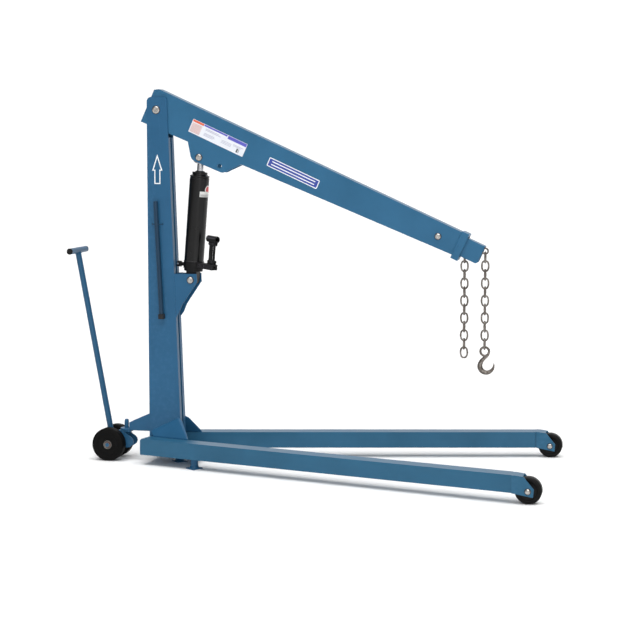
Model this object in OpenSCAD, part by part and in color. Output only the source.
// Engine hoist crane with a telescopic boom, a hydraulic ram and a steered tow handle.
// The floor is Z = 0. +X points from the tow wheels to the front wheels, +Y is the left side.

/* [Base] */
// Width of a leg tube
leg_w = 66; // [60:1:70]
// Height of a leg tube
leg_h = 66; // [60:1:70]
// Wall of a leg tube
leg_wall = 4; // [3:0.5:5]
// Height of the underside of the legs
leg_z = 42; // [40:1:44]
// Angle between a leg and the centre line
leg_angle = 13.3; // [13:0.1:13.6]
// Distance from the column's back to the front axle
front_axle_x = 1598; // [1590:1:1610]
// Radius of a front wheel
front_wheel_r = 50; // [48:1:50]
// Width of a front wheel
front_wheel_w = 38; // [34:1:40]

/* [Column] */
// Width of the column
column_w = 68; // [67:0.5:69]
// Plate thickness of the column
column_wall = 4.5; // [4:0.5:4.5]
// Height of the top of the column
column_top = 1494; // [1490:1:1496]
// Width of each lip on the open front of the column
lip_w = 25; // [20:1:27]

/* [Boom] */
// Height of the boom pivot
pivot_z = 1441.6; // [1440:0.2:1443]
// Slope of the boom below the horizontal, as it stands
boom_angle = 24.5; // [24:0.1:25]
// Width of the boom
boom_w = 58; // [57:0.5:58]
// Plate thickness of the boom
boom_wall = 5; // [4:0.5:5]
// Length from the pivot to the front end of the collar
boom_l = 1364; // [1360:1:1368]
// Width of the telescopic extension
ext_w = 46; // [44:0.5:46.5]
// Travel of the telescopic extension
ext_travel = 300; // [200:10:320]

/* [Ram] */
// Outer radius of the ram cylinder
ram_r = 40; // [38:0.5:41]
// Radius of the ram rod
rod_r = 13; // [12:0.5:14]
// Radius of the pins at both ends of the ram
ram_pin_r = 11; // [10:0.5:11]

/* [Chain] */
// Wire radius of the chain
wire_r = 3.25; // [3:0.05:3.4]
// Pitch of the chain
pitch = 34; // [33:0.5:35]
// Outer width of a link
link_w = 28; // [27:0.5:29]
// Outer width of a link outside the boom
wide_link_w = 32; // [28:0.5:33]

/* [Tow unit] */
// Radius of a tow wheel
tow_wheel_r = 68; // [66:0.5:69]
// Width of a tow wheel
tow_wheel_w = 42; // [38:1:44]
// Length from the axle to the T-bar
handle_l = 811; // [780:1:820]
// Lean of the tow handle to the rear
handle_lean = 10.4; // [8:0.1:12]
// Length of the T-bar
tbar_l = 180; // [160:1:200]
// Radius of the T-bar
tbar_r = 12.5; // [12:0.1:13]

/* [Hidden] */
$fn = 48;
eps = 0.02;
running = 0.05;
steel_blue = [0.16, 0.36, 0.52];
black = [0.08, 0.08, 0.09];
bright = [0.75, 0.75, 0.76];
chain_grey = [0.45, 0.44, 0.43];

// Base
leg_top = leg_z + leg_h;
tan_leg = tan(leg_angle);
leg_outer_y = 114.8;
leg_centre_y = leg_outer_y - leg_w / 2 / cos(leg_angle);
leg_back_x = -8;
fork_x = 1538;
fork_y = leg_centre_y + (fork_x + 20) * tan_leg;
fork_wall = 5;
fork_gap = leg_w - 2 * fork_wall;
front_bolt_r = 8;

// Column
column_front = function (z) 139.6 - 0.0367 * z;
bracket_top = 779;
bracket_low = 600;
ram_foot = [179.5, 753.5];

// Boom, in its own frame: X along the boom from the pivot, Z square to its top
pivot_x = 39.7;
boom_top = 80.5;
boom_back = -42;
boom_low = function (x) -49.6 + 0.0397 * (x - 481);
collar_l = 30;
lug_pin = [241.7, -100.1];
spare_hole = [334.4, -96.5];
spare_r = 9.5;
lock_at = [1255, 25.5];
lock_r = 8;
pivot_pin_r = 12;
ext_low = -8;
ext_high = 67.7;
ext_wall = 3.5;
ext_back = 820;
ext_front = 1437.5;

// Ram, in its own frame: Z from the foot pin to the head pin
head_pin = [pivot_x + lug_pin[0] * cos(boom_angle) + lug_pin[1] * sin(boom_angle),
            pivot_z - lug_pin[0] * sin(boom_angle) + lug_pin[1] * cos(boom_angle)];
ram_lean = atan2(head_pin[0] - ram_foot[0], head_pin[1] - ram_foot[1]);
ram_l = norm(head_pin - ram_foot);
cylinder_low = 75;
cylinder_high = 412;
cap_high = 439;
bore_r = 31;
bar_turn = -32;
bar_l = 126;
bar_w = 32;
bar_low = 53;
bar_high = 75;
plunger_d = 104;
plunger_r = 8;
socket_z = 158;
socket_r = 13.5;
socket_rise = 19;
socket_bore = 9.2;
socket_tilt = 0;

// Lever, stored on the right side of the column
lever_foot = [60.3, 603];
lever_lean = 2.7;
lever_l = 470;
lever_r = 8.9;
lever_y = -(column_w / 2 + lever_r + 1.4);

// Tow unit
axle_x = -172;
axle_r = 8;
kingpin_x = -111.5;
kingpin_r = 9;
arm_low = 124;
arm_plate = 7;
wheel_in = 27;
cheek_y = 24;
cheek_w = 5;

// Chain, in the row's own plane
right_x = 1375;
left_x = 1294;
right_first_z = 863.5;
left_first_z = 862;
right_links = 11;
left_links = 12;
hook_eye_z = right_first_z - (right_links - 1) * pitch - 29.4;
eye_r = 17;
eye_wire = 4.3;

// Everything is shifted so that the origin is under the middle of the whole crane
handle_top_x = axle_x - handle_l * sin(handle_lean);
shift_x = -((front_axle_x + front_wheel_r) + (handle_top_x - tbar_r)) / 2;

module placed() { translate([shift_x, 0, 0]) children(); }

// A flat plate drawn in X and Z, from y0 to y1
module plate(points, y0, y1) {
    translate([0, y1, 0]) rotate([90, 0, 0]) linear_extrude(y1 - y0) polygon(points);
}

// A round bar along Y
module bar_y(x, z, r, y0, y1) {
    translate([x, y1, z]) rotate([90, 0, 0]) cylinder(r = r, h = y1 - y0);
}

// The frame along a leg: X along the leg, Y across it
module leg_frame(side) {
    translate([0, side * leg_centre_y, 0]) rotate([0, 0, side * leg_angle]) children();
}

// A leg: a square tube, closed at the rear and cut square to the crane at the front
module leg(side) {
    tube_l = fork_x / cos(leg_angle) + 12;
    back = leg_back_x;
    color(steel_blue) placed() difference() {
        leg_frame(side) difference() {
            translate([back, -leg_w / 2, leg_z]) cube([tube_l - back, leg_w, leg_h]);
            translate([back + leg_wall, leg_wall - leg_w / 2, leg_z + leg_wall])
                cube([tube_l, leg_w - 2 * leg_wall, leg_h - 2 * leg_wall]);
            translate([back, -leg_w, leg_top]) rotate([0, 45, 0])
                translate([-5, 0, -5]) cube([10, 2 * leg_w, 10]);
        }
        translate([fork_x, side * fork_y - 100, 0]) cube([200, 200, 200]);
    }
}

module left_leg() { leg(1); }
module right_leg() { leg(-1); }

// The fork at the end of a leg: two cheeks, a back and a top plate
module leg_fork(side) {
    x0 = fork_x + eps;
    cheek = [[x0, leg_z], [front_axle_x + 19, 28.5], [front_axle_x + 22, 58],
             [front_axle_x - 16, leg_top - 4], [x0 + 12, leg_top], [x0, leg_top]];
    roof = [[x0, leg_top - 4], [x0 + 12, leg_top - 4], [front_axle_x - 19, leg_top - 7.6],
            [front_axle_x - 19, leg_top - 3.6], [x0 + 12, leg_top], [x0, leg_top]];
    color(steel_blue) placed() translate([0, side * fork_y, 0]) difference() {
        union() {
            plate(cheek, leg_w / 2 - fork_wall, leg_w / 2);
            plate(cheek, -leg_w / 2, fork_wall - leg_w / 2);
            translate([x0, -leg_w / 2 + 1, leg_z]) cube([5, leg_w - 2, leg_h - 1]);
            plate(roof, 1 - leg_w / 2, leg_w / 2 - 1);
        }
        bar_y(front_axle_x, front_wheel_r, front_bolt_r, -60, 60);
    }
}

module left_leg_fork() { leg_fork(1); }
module right_leg_fork() { leg_fork(-1); }

// The plate that joins the legs under the column
module base_plate() {
    y = function (x) leg_outer_y - leg_w / cos(leg_angle) + x * tan_leg - eps;
    x0 = -4;
    x1 = 210;
    color(steel_blue) placed() translate([0, 0, leg_z]) linear_extrude(8)
        polygon([[x0, -y(x0)], [x1, -y(x1)], [x1, y(x1)], [x0, y(x0)]]);
}

function arc(x, z, r, a0, a1) = [for (i = [0:5]) let (a = a0 + (a1 - a0) * i / 5)
                                 [x + r * cos(a), z + r * sin(a)]];

// The column: a channel with two side plates, a back and an inward lip on each side
module column() {
    foot = leg_z + 8;
    half = column_w / 2;
    front = column_front(column_top);
    web_top = 1350;
    lip_low = 110;
    lip_top = 1330;
    side = concat([[0, foot], [column_front(foot), foot]],
                  arc(front - 14, column_top - 14, 14, 0, 90),
                  arc(19, column_top - 19, 19, 90, 180));
    lip = [[column_front(lip_low) - column_wall, lip_low], [column_front(lip_low), lip_low],
           [column_front(lip_top), lip_top], [column_front(lip_top) - column_wall, lip_top]];
    color(steel_blue) placed() difference() {
        union() {
            plate(side, half - column_wall, half);
            plate(side, -half, column_wall - half);
            translate([0, -half, foot]) cube([column_wall, column_w, web_top - foot]);
            plate(lip, half - lip_w, half);
            plate(lip, -half, lip_w - half);
        }
        bar_y(pivot_x, pivot_z, pivot_pin_r, -half - 1, half + 1);
    }
}

// A sloping plate from the side of the column to the inner edge of a leg
module gusset(side) {
    inner = function (x) leg_outer_y - leg_w / cos(leg_angle) + x * tan_leg + 4;
    half = column_w / 2 + 2.2;
    corners = [[126, half, 184], [143, half + 9, 173], [11, half, 127],
               [26, inner(26), leg_top + 2], [183, inner(183), leg_top + 2]];
    color(steel_blue) placed() hull()
        for (c = corners) translate([c[0], side * c[1], c[2]]) cube([4, 4, 4], center = true);
}

module left_gusset() { gusset(1); }
module right_gusset() { gusset(-1); }

// Two cheeks on the front of the column that carry the foot of the ram
module ram_bracket() {
    half = column_w / 2;
    cheek = [[column_front(bracket_low) + eps, bracket_low], [131, 618], [144, 651], [208, 745],
             [206.5, bracket_top], [column_front(bracket_top) + eps, bracket_top]];
    color(steel_blue) placed() difference() {
        for (s = [-1, 1]) plate(cheek, s * half - (s > 0 ? column_wall : 0),
                                s * half + (s > 0 ? 0 : column_wall));
        bar_y(ram_foot[0], ram_foot[1], ram_pin_r, -half - 1, half + 1);
    }
}

// A post with a square foot plate
module foot(x, y, top, turn) {
    color(steel_blue) placed() translate([x, y, 0]) {
        rotate([0, 0, turn]) translate([-24, -24, 0]) cube([48, 48, 5]);
        translate([0, 0, 5]) cylinder(r1 = 21, r2 = 16, h = 8);
        translate([0, 0, 13]) cylinder(r = 16, h = top - 13);
    }
}

foot_x = 224;
foot_y = leg_centre_y + foot_x * tan_leg;
module left_foot() { foot(foot_x, foot_y, leg_z, 34); }
module right_foot() { foot(foot_x, -foot_y, leg_z, -34); }
module centre_foot() { foot(118, 0, leg_z, 45); }

// The arm behind the column that holds the kingpin
module tow_arm() {
    cheek = [[-eps, arm_low + arm_plate], [-eps, 196], [-8, 195.3], [-93, 157],
             [-93, arm_low + arm_plate]];
    color(steel_blue) placed() {
        translate([0, 0, arm_low]) difference() {
            union() {
                translate([kingpin_x, -22, 0]) cube([-kingpin_x - eps, 44, arm_plate]);
                translate([kingpin_x, 0, 0]) cylinder(r = 26, h = arm_plate);
            }
            translate([kingpin_x, 0, -1]) cylinder(r = kingpin_r, h = arm_plate + 2);
        }
        plate(cheek, 17, 22);
        plate(cheek, -22, -17);
    }
}

// The bolt on which the tow fork turns, with its nut
module kingpin() {
    color(steel_blue) placed() translate([kingpin_x, 0, 0]) {
        translate([0, 0, 108]) cylinder(r = kingpin_r, h = 50);
        translate([0, 0, 104]) cylinder(r = 14, h = 12.6, $fn = 6);
        translate([0, 0, 158]) cylinder(r1 = kingpin_r, r2 = 7, h = 9);
    }
}

// A pin along Y with a domed head at each end
module headed_pin(x, z, r, half, head_r, head) {
    bar_y(x, z, r, -half, half);
    for (s = [-1, 1]) translate([x, s * half, z]) rotate([-s * 90, 0, 0]) {
        cylinder(r = head_r, h = head * 0.6);
        translate([0, 0, head * 0.6]) cylinder(r1 = head_r, r2 = head_r * 0.75, h = head * 0.4);
    }
}

module boom_pivot_pin() {
    color(bright) placed()
        headed_pin(pivot_x, pivot_z, pivot_pin_r, column_w / 2 + eps, pivot_pin_r + 2.5, 5);
}

module ram_foot_pin() {
    color(bright) placed()
        headed_pin(ram_foot[0], ram_foot[1], ram_pin_r, column_w / 2 + eps, ram_pin_r + 1.2, 5);
}

// The lever is stored in a clip and a rest on the right side of the column
module lever_frame() {
    translate([lever_foot[0], lever_y, lever_foot[1]]) rotate([0, -lever_lean, 0]) children();
}

module lever_clip() {
    color(bright) placed() translate([43, -column_w / 2, 980]) {
        rotate([0, 0, 180]) rotate_extrude(angle = 180) translate([22, 0]) circle(r = 1.6);
        for (s = [-1, 1]) translate([s * 22, -2.6 - eps, 0]) sphere(r = 2.6);
    }
}

module lever_rest() {
    color(black) placed() lever_frame() difference() {
        translate([-11, -12, -9]) cube([22, 12 - lever_y - column_w / 2 - eps, 20]);
        cylinder(r = lever_r + 0.4, h = 30);
    }
}

module front_axle(side) {
    color(bright) placed() translate([0, side * fork_y, 0])
        headed_pin(front_axle_x, front_wheel_r, front_bolt_r, leg_w / 2 + eps, 9.5, 6);
}

module left_front_axle() { front_axle(1); }
module right_front_axle() { front_axle(-1); }

// A solid wheel about Y with rounded treads and a hub
module front_wheel(side) {
    r = front_wheel_r;
    w = front_wheel_w / 2;
    hub = fork_gap / 2 - 0.5;
    bore = front_bolt_r + running;
    profile = [[bore, -hub], [15, -hub], [15, -w + 3], [r - 12, -w + 3], [r - 9, -w], [r - 3, -w],
               [r, -w + 3], [r, w - 3], [r - 3, w], [r - 9, w], [r - 12, w - 3], [15, w - 3],
               [15, hub], [bore, hub]];
    color(black) placed() translate([front_axle_x, side * fork_y, r]) rotate([90, 0, 0])
        rotate_extrude($fn = 96) polygon(profile);
}

module left_front_wheel() { front_wheel(1); }
module right_front_wheel() { front_wheel(-1); }

// Everything on the boom is drawn along X and tipped about the pivot
module boom_frame() { translate([pivot_x, 0, pivot_z]) rotate([0, boom_angle, 0]) children(); }

module boom() {
    front = boom_l - collar_l;
    w = boom_wall;
    outer = [[boom_back, boom_low(boom_back)], [173, boom_low(173)], [209, -112], [219, -119.5],
             [232, -121.3], [350, -117], [359, -114], [413, boom_low(413)],
             [front, boom_low(front)], [front, boom_top], [-24, boom_top],
             [boom_back, 70]];
    hollow = [[-60, boom_top - w], [front + 9, boom_top - w], [front + 9, boom_low(front + 9) + w],
              [408, boom_low(408) + w], [408, -140], [178, -140], [178, boom_low(178) + w],
              [40, boom_low(40) + w], [40, -140], [-60, -140]];
    color(steel_blue) placed() boom_frame() difference() {
        plate(outer, -boom_w / 2, boom_w / 2);
        plate(hollow, w - boom_w / 2, boom_w / 2 - w);
        bar_y(0, 0, pivot_pin_r + running, -boom_w, boom_w);
        bar_y(lug_pin[0], lug_pin[1], ram_pin_r, -boom_w, boom_w);
        bar_y(spare_hole[0], spare_hole[1], spare_r, -boom_w, boom_w);
        bar_y(lock_at[0], lock_at[1], lock_r, -boom_w, boom_w);
    }
}

// The collar that guides the extension at the end of the boom
module boom_collar() {
    out = boom_w / 2 + 4.5;
    slide = ext_w / 2 + 0.6;
    recess = 9;
    color(steel_blue) placed() boom_frame() translate([boom_l - collar_l + eps, 0, 0])
        difference() {
            translate([0, -out, -29]) cube([collar_l, 2 * out, boom_top + 33.5]);
            translate([-1, -slide, ext_low - 0.8])
                cube([collar_l + 2, 2 * slide, ext_high - ext_low + 1.6]);
            translate([collar_l - recess, -slide - 4, ext_low - 4.8])
                cube([collar_l, 2 * slide + 8, ext_high - ext_low + 9.6]);
        }
}

module lock_pin() {
    color(bright) placed() boom_frame()
        headed_pin(lock_at[0], lock_at[1], lock_r, boom_w / 2 + eps, 11, 6);
}

module ram_head_pin() {
    color(bright) placed() boom_frame()
        headed_pin(lug_pin[0], lug_pin[1], ram_pin_r, boom_w / 2 + eps, ram_pin_r + 1.2, 5);
}

// The telescopic box, with a slot for the lock pin and a hole for the chain
module extension() {
    w = ext_wall;
    side = concat([[ext_back, ext_low]], arc(ext_front - 10, ext_low + 10, 10, -90, 0),
                  [[ext_front, ext_high], [ext_back, ext_high]]);
    slot_r = lock_r + 0.6;
    chain_hole = [1382, 17];
    color(steel_blue) placed() boom_frame() difference() {
        plate(side, -ext_w / 2, ext_w / 2);
        translate([ext_back - 1, w - ext_w / 2, ext_low + w])
            cube([ext_front, ext_w - 2 * w, ext_high - ext_low - 2 * w]);
        bar_y(lock_at[0], lock_at[1], slot_r, -ext_w, ext_w);
        bar_y(lock_at[0] - ext_travel, lock_at[1], slot_r, -ext_w, ext_w);
        translate([lock_at[0] - ext_travel, -ext_w, lock_at[1] - slot_r])
            cube([ext_travel, 2 * ext_w, 2 * slot_r]);
        translate([chain_hole[0], 0, ext_low - 1]) cylinder(r = chain_hole[1], h = w + 2);
    }
}

// A chain link round the origin, long axis along Z, in the plane of X and Z
module link(w = link_w) {
    arm = w / 2 - wire_r;
    straight = pitch / 2 + wire_r - arm;
    rotate([90, 0, 0]) {
        for (s = [0, 180]) rotate([0, 0, s]) translate([0, straight, 0])
            rotate_extrude(angle = 180, $fn = 32) translate([arm, 0]) circle(r = wire_r, $fn = 24);
        for (s = [-1, 1]) translate([s * arm, straight, 0]) rotate([90, 0, 0])
            cylinder(r = wire_r, h = 2 * straight, $fn = 24);
    }
}

// Links number first to last of a strand that hangs from z at x; odd ones are edge-on
module strand(x, z, first, last) {
    color(chain_grey) placed() for (i = [first:last])
        translate([x, 0, z - (i - 1) * pitch]) rotate([0, 0, i % 2 == 1 ? 90 : 0])
            link(i > 2 ? wide_link_w : link_w);
}

// The links that lie inside the extension, from one strand to the other
module chain_saddle() {
    arm = link_w / 2 - wire_r;
    straight = pitch / 2 + wire_r - arm;
    rise = pitch / 2 - wire_r + arm;
    color(chain_grey) placed() {
        translate([right_x, 0, right_first_z + rise]) rotate([0, boom_angle - 90, 0])
            translate([0, 0, straight]) link();
        translate([left_x, 0, left_first_z + rise]) rotate([0, 90, 0])
            translate([0, 0, straight]) link();
        translate([(left_x + right_x) / 2 + 0.7, 0, left_first_z + rise + 5.3])
            rotate([0, 74, 0]) rotate([0, 0, 90]) link();
    }
}

// The welded bar inside the extension that the chain cannot pull past
module chain_bar() {
    half = ext_w / 2 - ext_wall - eps;
    color(chain_grey) placed() bar_y(left_x + 10.5, left_first_z + 26, 4, -half, half);
}

module left_link_1() { strand(left_x, left_first_z, 1, 1); }
module left_link_2() { strand(left_x, left_first_z, 2, 2); }
module left_chain() { strand(left_x, left_first_z, 3, left_links); }
module right_link_1() { strand(right_x, right_first_z, 1, 1); }
module right_link_2() { strand(right_x, right_first_z, 2, 2); }
module right_chain() { strand(right_x, right_first_z, 3, right_links); }

// The load hook under the right strand
module hook() {
    bowl = [5, -58.5];
    bowl_r = 25;
    r = 8.5;
    from = -210;
    to = 23;
    neck = [bowl[0] + bowl_r * cos(from), bowl[1] + bowl_r * sin(from)];
    eye_low = [0, -eye_r];
    neck_l = norm(eye_low - neck);
    neck_lean = atan2(eye_low[0] - neck[0], eye_low[1] - neck[1]);
    color(chain_grey) placed() translate([right_x + 1, 0, hook_eye_z]) {
        rotate([90, 0, 0]) rotate_extrude($fn = 64) translate([eye_r, 0])
            circle(r = eye_wire, $fn = 32);
        translate([bowl[0], 0, bowl[1]]) rotate([90, 0, 0]) rotate([0, 0, from])
            rotate_extrude(angle = to - from, $fn = 96) translate([bowl_r, 0])
                circle(r = r, $fn = 32);
        translate([neck[0], 0, neck[1]]) sphere(r = r + 0.2);
        translate([neck[0], 0, neck[1]]) rotate([0, neck_lean, 0])
            cylinder(r1 = r - 0.1, r2 = 5.5, h = neck_l);
        translate([bowl[0] + bowl_r * cos(to), 0, bowl[1] + bowl_r * sin(to)]) sphere(r = r + 0.1);
    }
}

// Everything on the ram is drawn along Z from its foot pin
module ram_frame() {
    translate([ram_foot[0], 0, ram_foot[1]]) rotate([0, ram_lean, 0]) children();
}

module ram_base() {
    lug_y = 26;
    color(black) placed() ram_frame() difference() {
        union() {
            bar_y(0, 0, 22, -lug_y, lug_y);
            translate([-22, -lug_y, 0]) cube([44, 2 * lug_y, 52]);
            translate([0, 0, 36]) cylinder(r = 38, h = 10);
            translate([0, 0, 46]) cylinder(r = ram_r + 1, h = cylinder_low - 46 - eps);
        }
        bar_y(0, 0, ram_pin_r + running, -50, 50);
    }
}

module ram_cylinder() {
    color(black) placed() ram_frame() translate([0, 0, cylinder_low]) difference() {
        cylinder(r = ram_r, h = cylinder_high - cylinder_low, $fn = 96);
        translate([0, 0, -1]) cylinder(r = bore_r, h = cylinder_high, $fn = 96);
    }
}

// The gland nut at the top of the ram, with its bore for the rod
module ram_cap() {
    groove = [[ram_r - 2, 4], [ram_r + 1, 4], [ram_r + 1, 7], [ram_r - 2, 7]];
    color(black) placed() ram_frame() translate([0, 0, cylinder_high + eps]) difference() {
        union() {
            cylinder(r = ram_r, h = 12);
            translate([0, 0, 12]) cylinder(r1 = ram_r, r2 = 31, h = 4);
            translate([0, 0, 16]) cylinder(r = 31, h = cap_high - cylinder_high - 16);
        }
        translate([0, 0, -1]) cylinder(r = rod_r + running, h = 40);
        rotate_extrude() polygon(groove);
    }
}

// A round-ended slot seen along Y, for a centre that moves over x0..x1 and z0..z1
module slot_y(x0, x1, z0, z1, r, half) {
    for (x = [x0, x1]) for (z = [z0, z1]) bar_y(x, z, r, -half, half);
    translate([x0, -half, z0 - r]) cube([x1 - x0, 2 * half, z1 - z0 + 2 * r]);
    translate([x0 - r, -half, z0]) cube([x1 - x0 + 2 * r, 2 * half, z1 - z0]);
}

// The rod, its piston and the slotted eye between the plates of the boom
module ram_rod() {
    eye_half = boom_w / 2 - boom_wall - 2;
    wander_x = [-9.5, 27.3];
    wander_z = [-8.2, 4.6];
    clear_r = ram_pin_r + 0.6;
    color(bright) placed() ram_frame() difference() {
        union() {
            translate([0, 0, 110]) cylinder(r = rod_r, h = ram_l - 110 - 20);
            translate([0, 0, 96]) cylinder(r = bore_r - 0.3, h = 20);
            translate([0, 0, ram_l])
                slot_y(wander_x[0], wander_x[1], wander_z[0], wander_z[1], clear_r + 5, eye_half);
        }
        translate([0, 0, ram_l])
            slot_y(wander_x[0], wander_x[1], wander_z[0], wander_z[1], clear_r, boom_w);
    }
}

// Everything on the pump is drawn out along X from the ram
module pump_frame() { ram_frame() rotate([0, 0, bar_turn]) children(); }

link_d = 120;
link_low = 85;
link_pin_r = 3;

module pump_body() {
    gland_top = 88;
    color(black) placed() pump_frame() difference() {
        union() {
            translate([20, -bar_w / 2, bar_low]) cube([bar_l - 18, bar_w, bar_high - bar_low]);
            translate([plunger_d - 4, 0, bar_high - 1]) cylinder(r = 12, h = gland_top - bar_high + 1);
            for (s = [-1, 1]) translate([link_d - 6, s * 6.5 - 2.5, bar_high - 1])
                cube([13, 5, link_low - bar_high + 7]);
        }
        cylinder(r = ram_r + 1 + eps, h = 200);
        translate([plunger_d - 4, 0, bar_low + 2]) cylinder(r = plunger_r + running, h = 60);
        translate([bar_l - 16, 0, (bar_low + bar_high) / 2]) rotate([0, 90, 0])
            cylinder(r = 4.5, h = 30);
        bar_y(link_d, link_low, link_pin_r, -20, 20);
    }
}

module pump_plunger() {
    color(black) placed() pump_frame() translate([plunger_d - 4, 0, 0]) difference() {
        union() {
            translate([0, 0, bar_high + 2]) cylinder(r = plunger_r, h = 72);
            translate([-6, -4, 148]) cube([12, 8, socket_z - 148]);
            bar_y(0, socket_z, 6, -4, 4);
        }
        bar_y(0, socket_z, link_pin_r + running, -9, 9);
    }
}

module pump_link() {
    color(black) placed() pump_frame() {
        translate([link_d - 4, -3.5, link_low]) cube([8, 7, socket_z - link_low]);
        for (z = [link_low, socket_z]) {
            bar_y(link_d, z, 5.5, -3.5, 3.5);
            bar_y(link_d, z, link_pin_r - running, -10, 10);
        }
    }
}

// The socket that takes the lever, on its pin at the top of the plunger
module pump_socket() {
    tube_l = 54;
    color(black) placed() pump_frame() translate([plunger_d - 4, 0, socket_z]) {
        difference() {
            union() {
                for (s = [-1, 1]) plate(concat(arc(0, 0, 8, 150, 270), [[26, -8], [30, 12], [-8, 14]]),
                                        s * 7 - 2, s * 7 + 2);
                translate([-20, 0, socket_rise]) rotate([0, 90 - socket_tilt, 0])
                    cylinder(r = socket_r, h = tube_l);
            }
            translate([-20, 0, socket_rise]) rotate([0, 90 - socket_tilt, 0])
                translate([0, 0, 6]) cylinder(r = socket_bore, h = tube_l);
            bar_y(link_d - plunger_d + 4, 0, 5, -20, 20);
            translate([-12, -4.6, -12]) cube([60, 9.2, 18.5]);
        }
        bar_y(0, 0, link_pin_r, -11, 11);
    }
}

// The release valve on the column side of the ram foot
module release_valve() {
    color(black) placed() ram_frame() translate([-ram_r - 1.4, 0, 60]) rotate([0, -90, 0])
        difference() {
            union() {
                cylinder(r = 7.5, h = 20);
                translate([0, 0, 11]) cylinder(r = 12, h = 17);
            }
            translate([-3.5, -15, 19]) cube([7, 30, 20]);
        }
}

module pump_lever() {
    color(steel_blue) placed() lever_frame() difference() {
        cylinder(r = lever_r, h = lever_l);
        translate([0, 0, 4]) cylinder(r = lever_r - 2.4, h = lever_l);
    }
}

// The fork that carries the tow axle and turns on the kingpin
module tow_fork() {
    top = arm_low - 0.4;
    thick = 6.4;
    cheek = [[-136, top], [-126, top], [-82, 94], [-75, 86], [-73, 76], [-77, 64], [-92, 53],
             [-150, 49], [axle_x, 49], [axle_x - 15, 56], [axle_x - 19, 68], [axle_x - 15, 80],
             [-160, 96], [-146, 112], [-142, top]];
    color(steel_blue) placed() difference() {
        union() {
            for (s = [-1, 1]) plate(cheek, s * cheek_y - cheek_w / 2, s * cheek_y + cheek_w / 2);
            translate([-140, -cheek_y, top - thick]) cube([54, 2 * cheek_y, thick]);
        }
        translate([kingpin_x, 0, 0]) cylinder(r = kingpin_r + running, h = 200);
        bar_y(axle_x, tow_wheel_r, axle_r, -50, 50);
        translate([-86, -50, top - thick]) rotate([0, 35, 0]) cube([60, 100, 60]);
    }
}

module tow_axle() {
    half = wheel_in + tow_wheel_w + 3;
    color(steel_blue) placed() bar_y(axle_x, tow_wheel_r, axle_r, -half, half);
}

module tow_wheel_part(side, profile) {
    translate([axle_x, side * (wheel_in + tow_wheel_w / 2), tow_wheel_r])
        rotate([side * -90, 0, 0]) rotate_extrude($fn = 96) polygon(profile);
}

hub_r = 18;
module tow_tyre(side) {
    r = tow_wheel_r;
    w = tow_wheel_w / 2;
    color(black) placed() tow_wheel_part(side,
        [[hub_r, 1 - w], [r - 14, 1 - w], [r - 11, -w], [r - 4, -w], [r, 4 - w],
         [r, w - 4], [r - 4, w], [r - 11, w], [r - 14, w - 2], [hub_r, w - 2]]);
}

module tow_hub(side) {
    w = tow_wheel_w / 2;
    bore = axle_r + running;
    color(bright) placed() tow_wheel_part(side,
        [[bore, -w], [hub_r - eps, -w], [hub_r - eps, w - 0.5], [hub_r - 3, w],
         [hub_r - 5, w - 1.5], [bore, w - 1.5]]);
}

module left_tow_tyre() { tow_tyre(1); }
module right_tow_tyre() { tow_tyre(-1); }
module left_tow_hub() { tow_hub(1); }
module right_tow_hub() { tow_hub(-1); }

// Rings that keep the wheels on the axle
module axle_rings() {
    near = wheel_in + tow_wheel_w + 0.3;
    color(bright) placed() for (s = [-1, 1]) difference() {
        bar_y(axle_x, tow_wheel_r, axle_r + 3, min(s * near, s * (near + 1.6)),
              max(s * near, s * (near + 1.6)));
        bar_y(axle_x, tow_wheel_r, axle_r, -100, 100);
    }
}

// Everything on the tow handle is drawn up along Z from the axle
module handle_frame() {
    translate([axle_x, 0, tow_wheel_r]) rotate([0, -handle_lean, 0]) children();
}

module handle_shaft() {
    tube_r = 12;
    hub = cheek_y - cheek_w / 2 - 0.7;
    color(steel_blue) placed() handle_frame() difference() {
        union() {
            bar_y(0, 0, 16, -hub, hub);
            cylinder(r = tube_r, h = handle_l);
        }
        translate([0, 0, 20]) cylinder(r = tube_r - 2.5, h = handle_l);
        bar_y(0, 0, axle_r + running, -50, 50);
        bar_y(0, handle_l, tbar_r, -50, 50);
    }
}

plug_l = 4;
module handle_tbar() {
    half = tbar_l / 2 - plug_l;
    color(steel_blue) placed() handle_frame() difference() {
        bar_y(0, handle_l, tbar_r, -half, half);
        bar_y(0, handle_l, tbar_r - 2.5, -half - 1, half + 1);
    }
}

module tbar_plugs() {
    half = tbar_l / 2;
    color(black) placed() handle_frame() for (s = [-1, 1]) {
        bar_y(0, handle_l, tbar_r, min(s * half, s * (half - plug_l + eps)),
              max(s * half, s * (half - plug_l + eps)));
        bar_y(0, handle_l, tbar_r - 2.5 - eps, min(s * (half - 18), s * (half - 1)),
              max(s * (half - 18), s * (half - 1)));
    }
}

column();
base_plate();
left_leg();
right_leg();
left_leg_fork();
right_leg_fork();
left_gusset();
right_gusset();
ram_bracket();
left_foot();
right_foot();
centre_foot();
tow_arm();
kingpin();
boom_pivot_pin();
ram_foot_pin();
lever_clip();
lever_rest();
left_front_axle();
right_front_axle();
left_front_wheel();
right_front_wheel();
boom();
boom_collar();
lock_pin();
ram_head_pin();
extension();
chain_saddle();
chain_bar();
left_link_1();
left_link_2();
left_chain();
right_link_1();
right_link_2();
right_chain();
hook();
ram_base();
ram_cylinder();
ram_cap();
pump_body();
release_valve();
ram_rod();
pump_plunger();
pump_link();
pump_socket();
pump_lever();
tow_fork();
tow_axle();
left_tow_tyre();
right_tow_tyre();
left_tow_hub();
right_tow_hub();
axle_rings();
handle_shaft();
handle_tbar();
tbar_plugs();
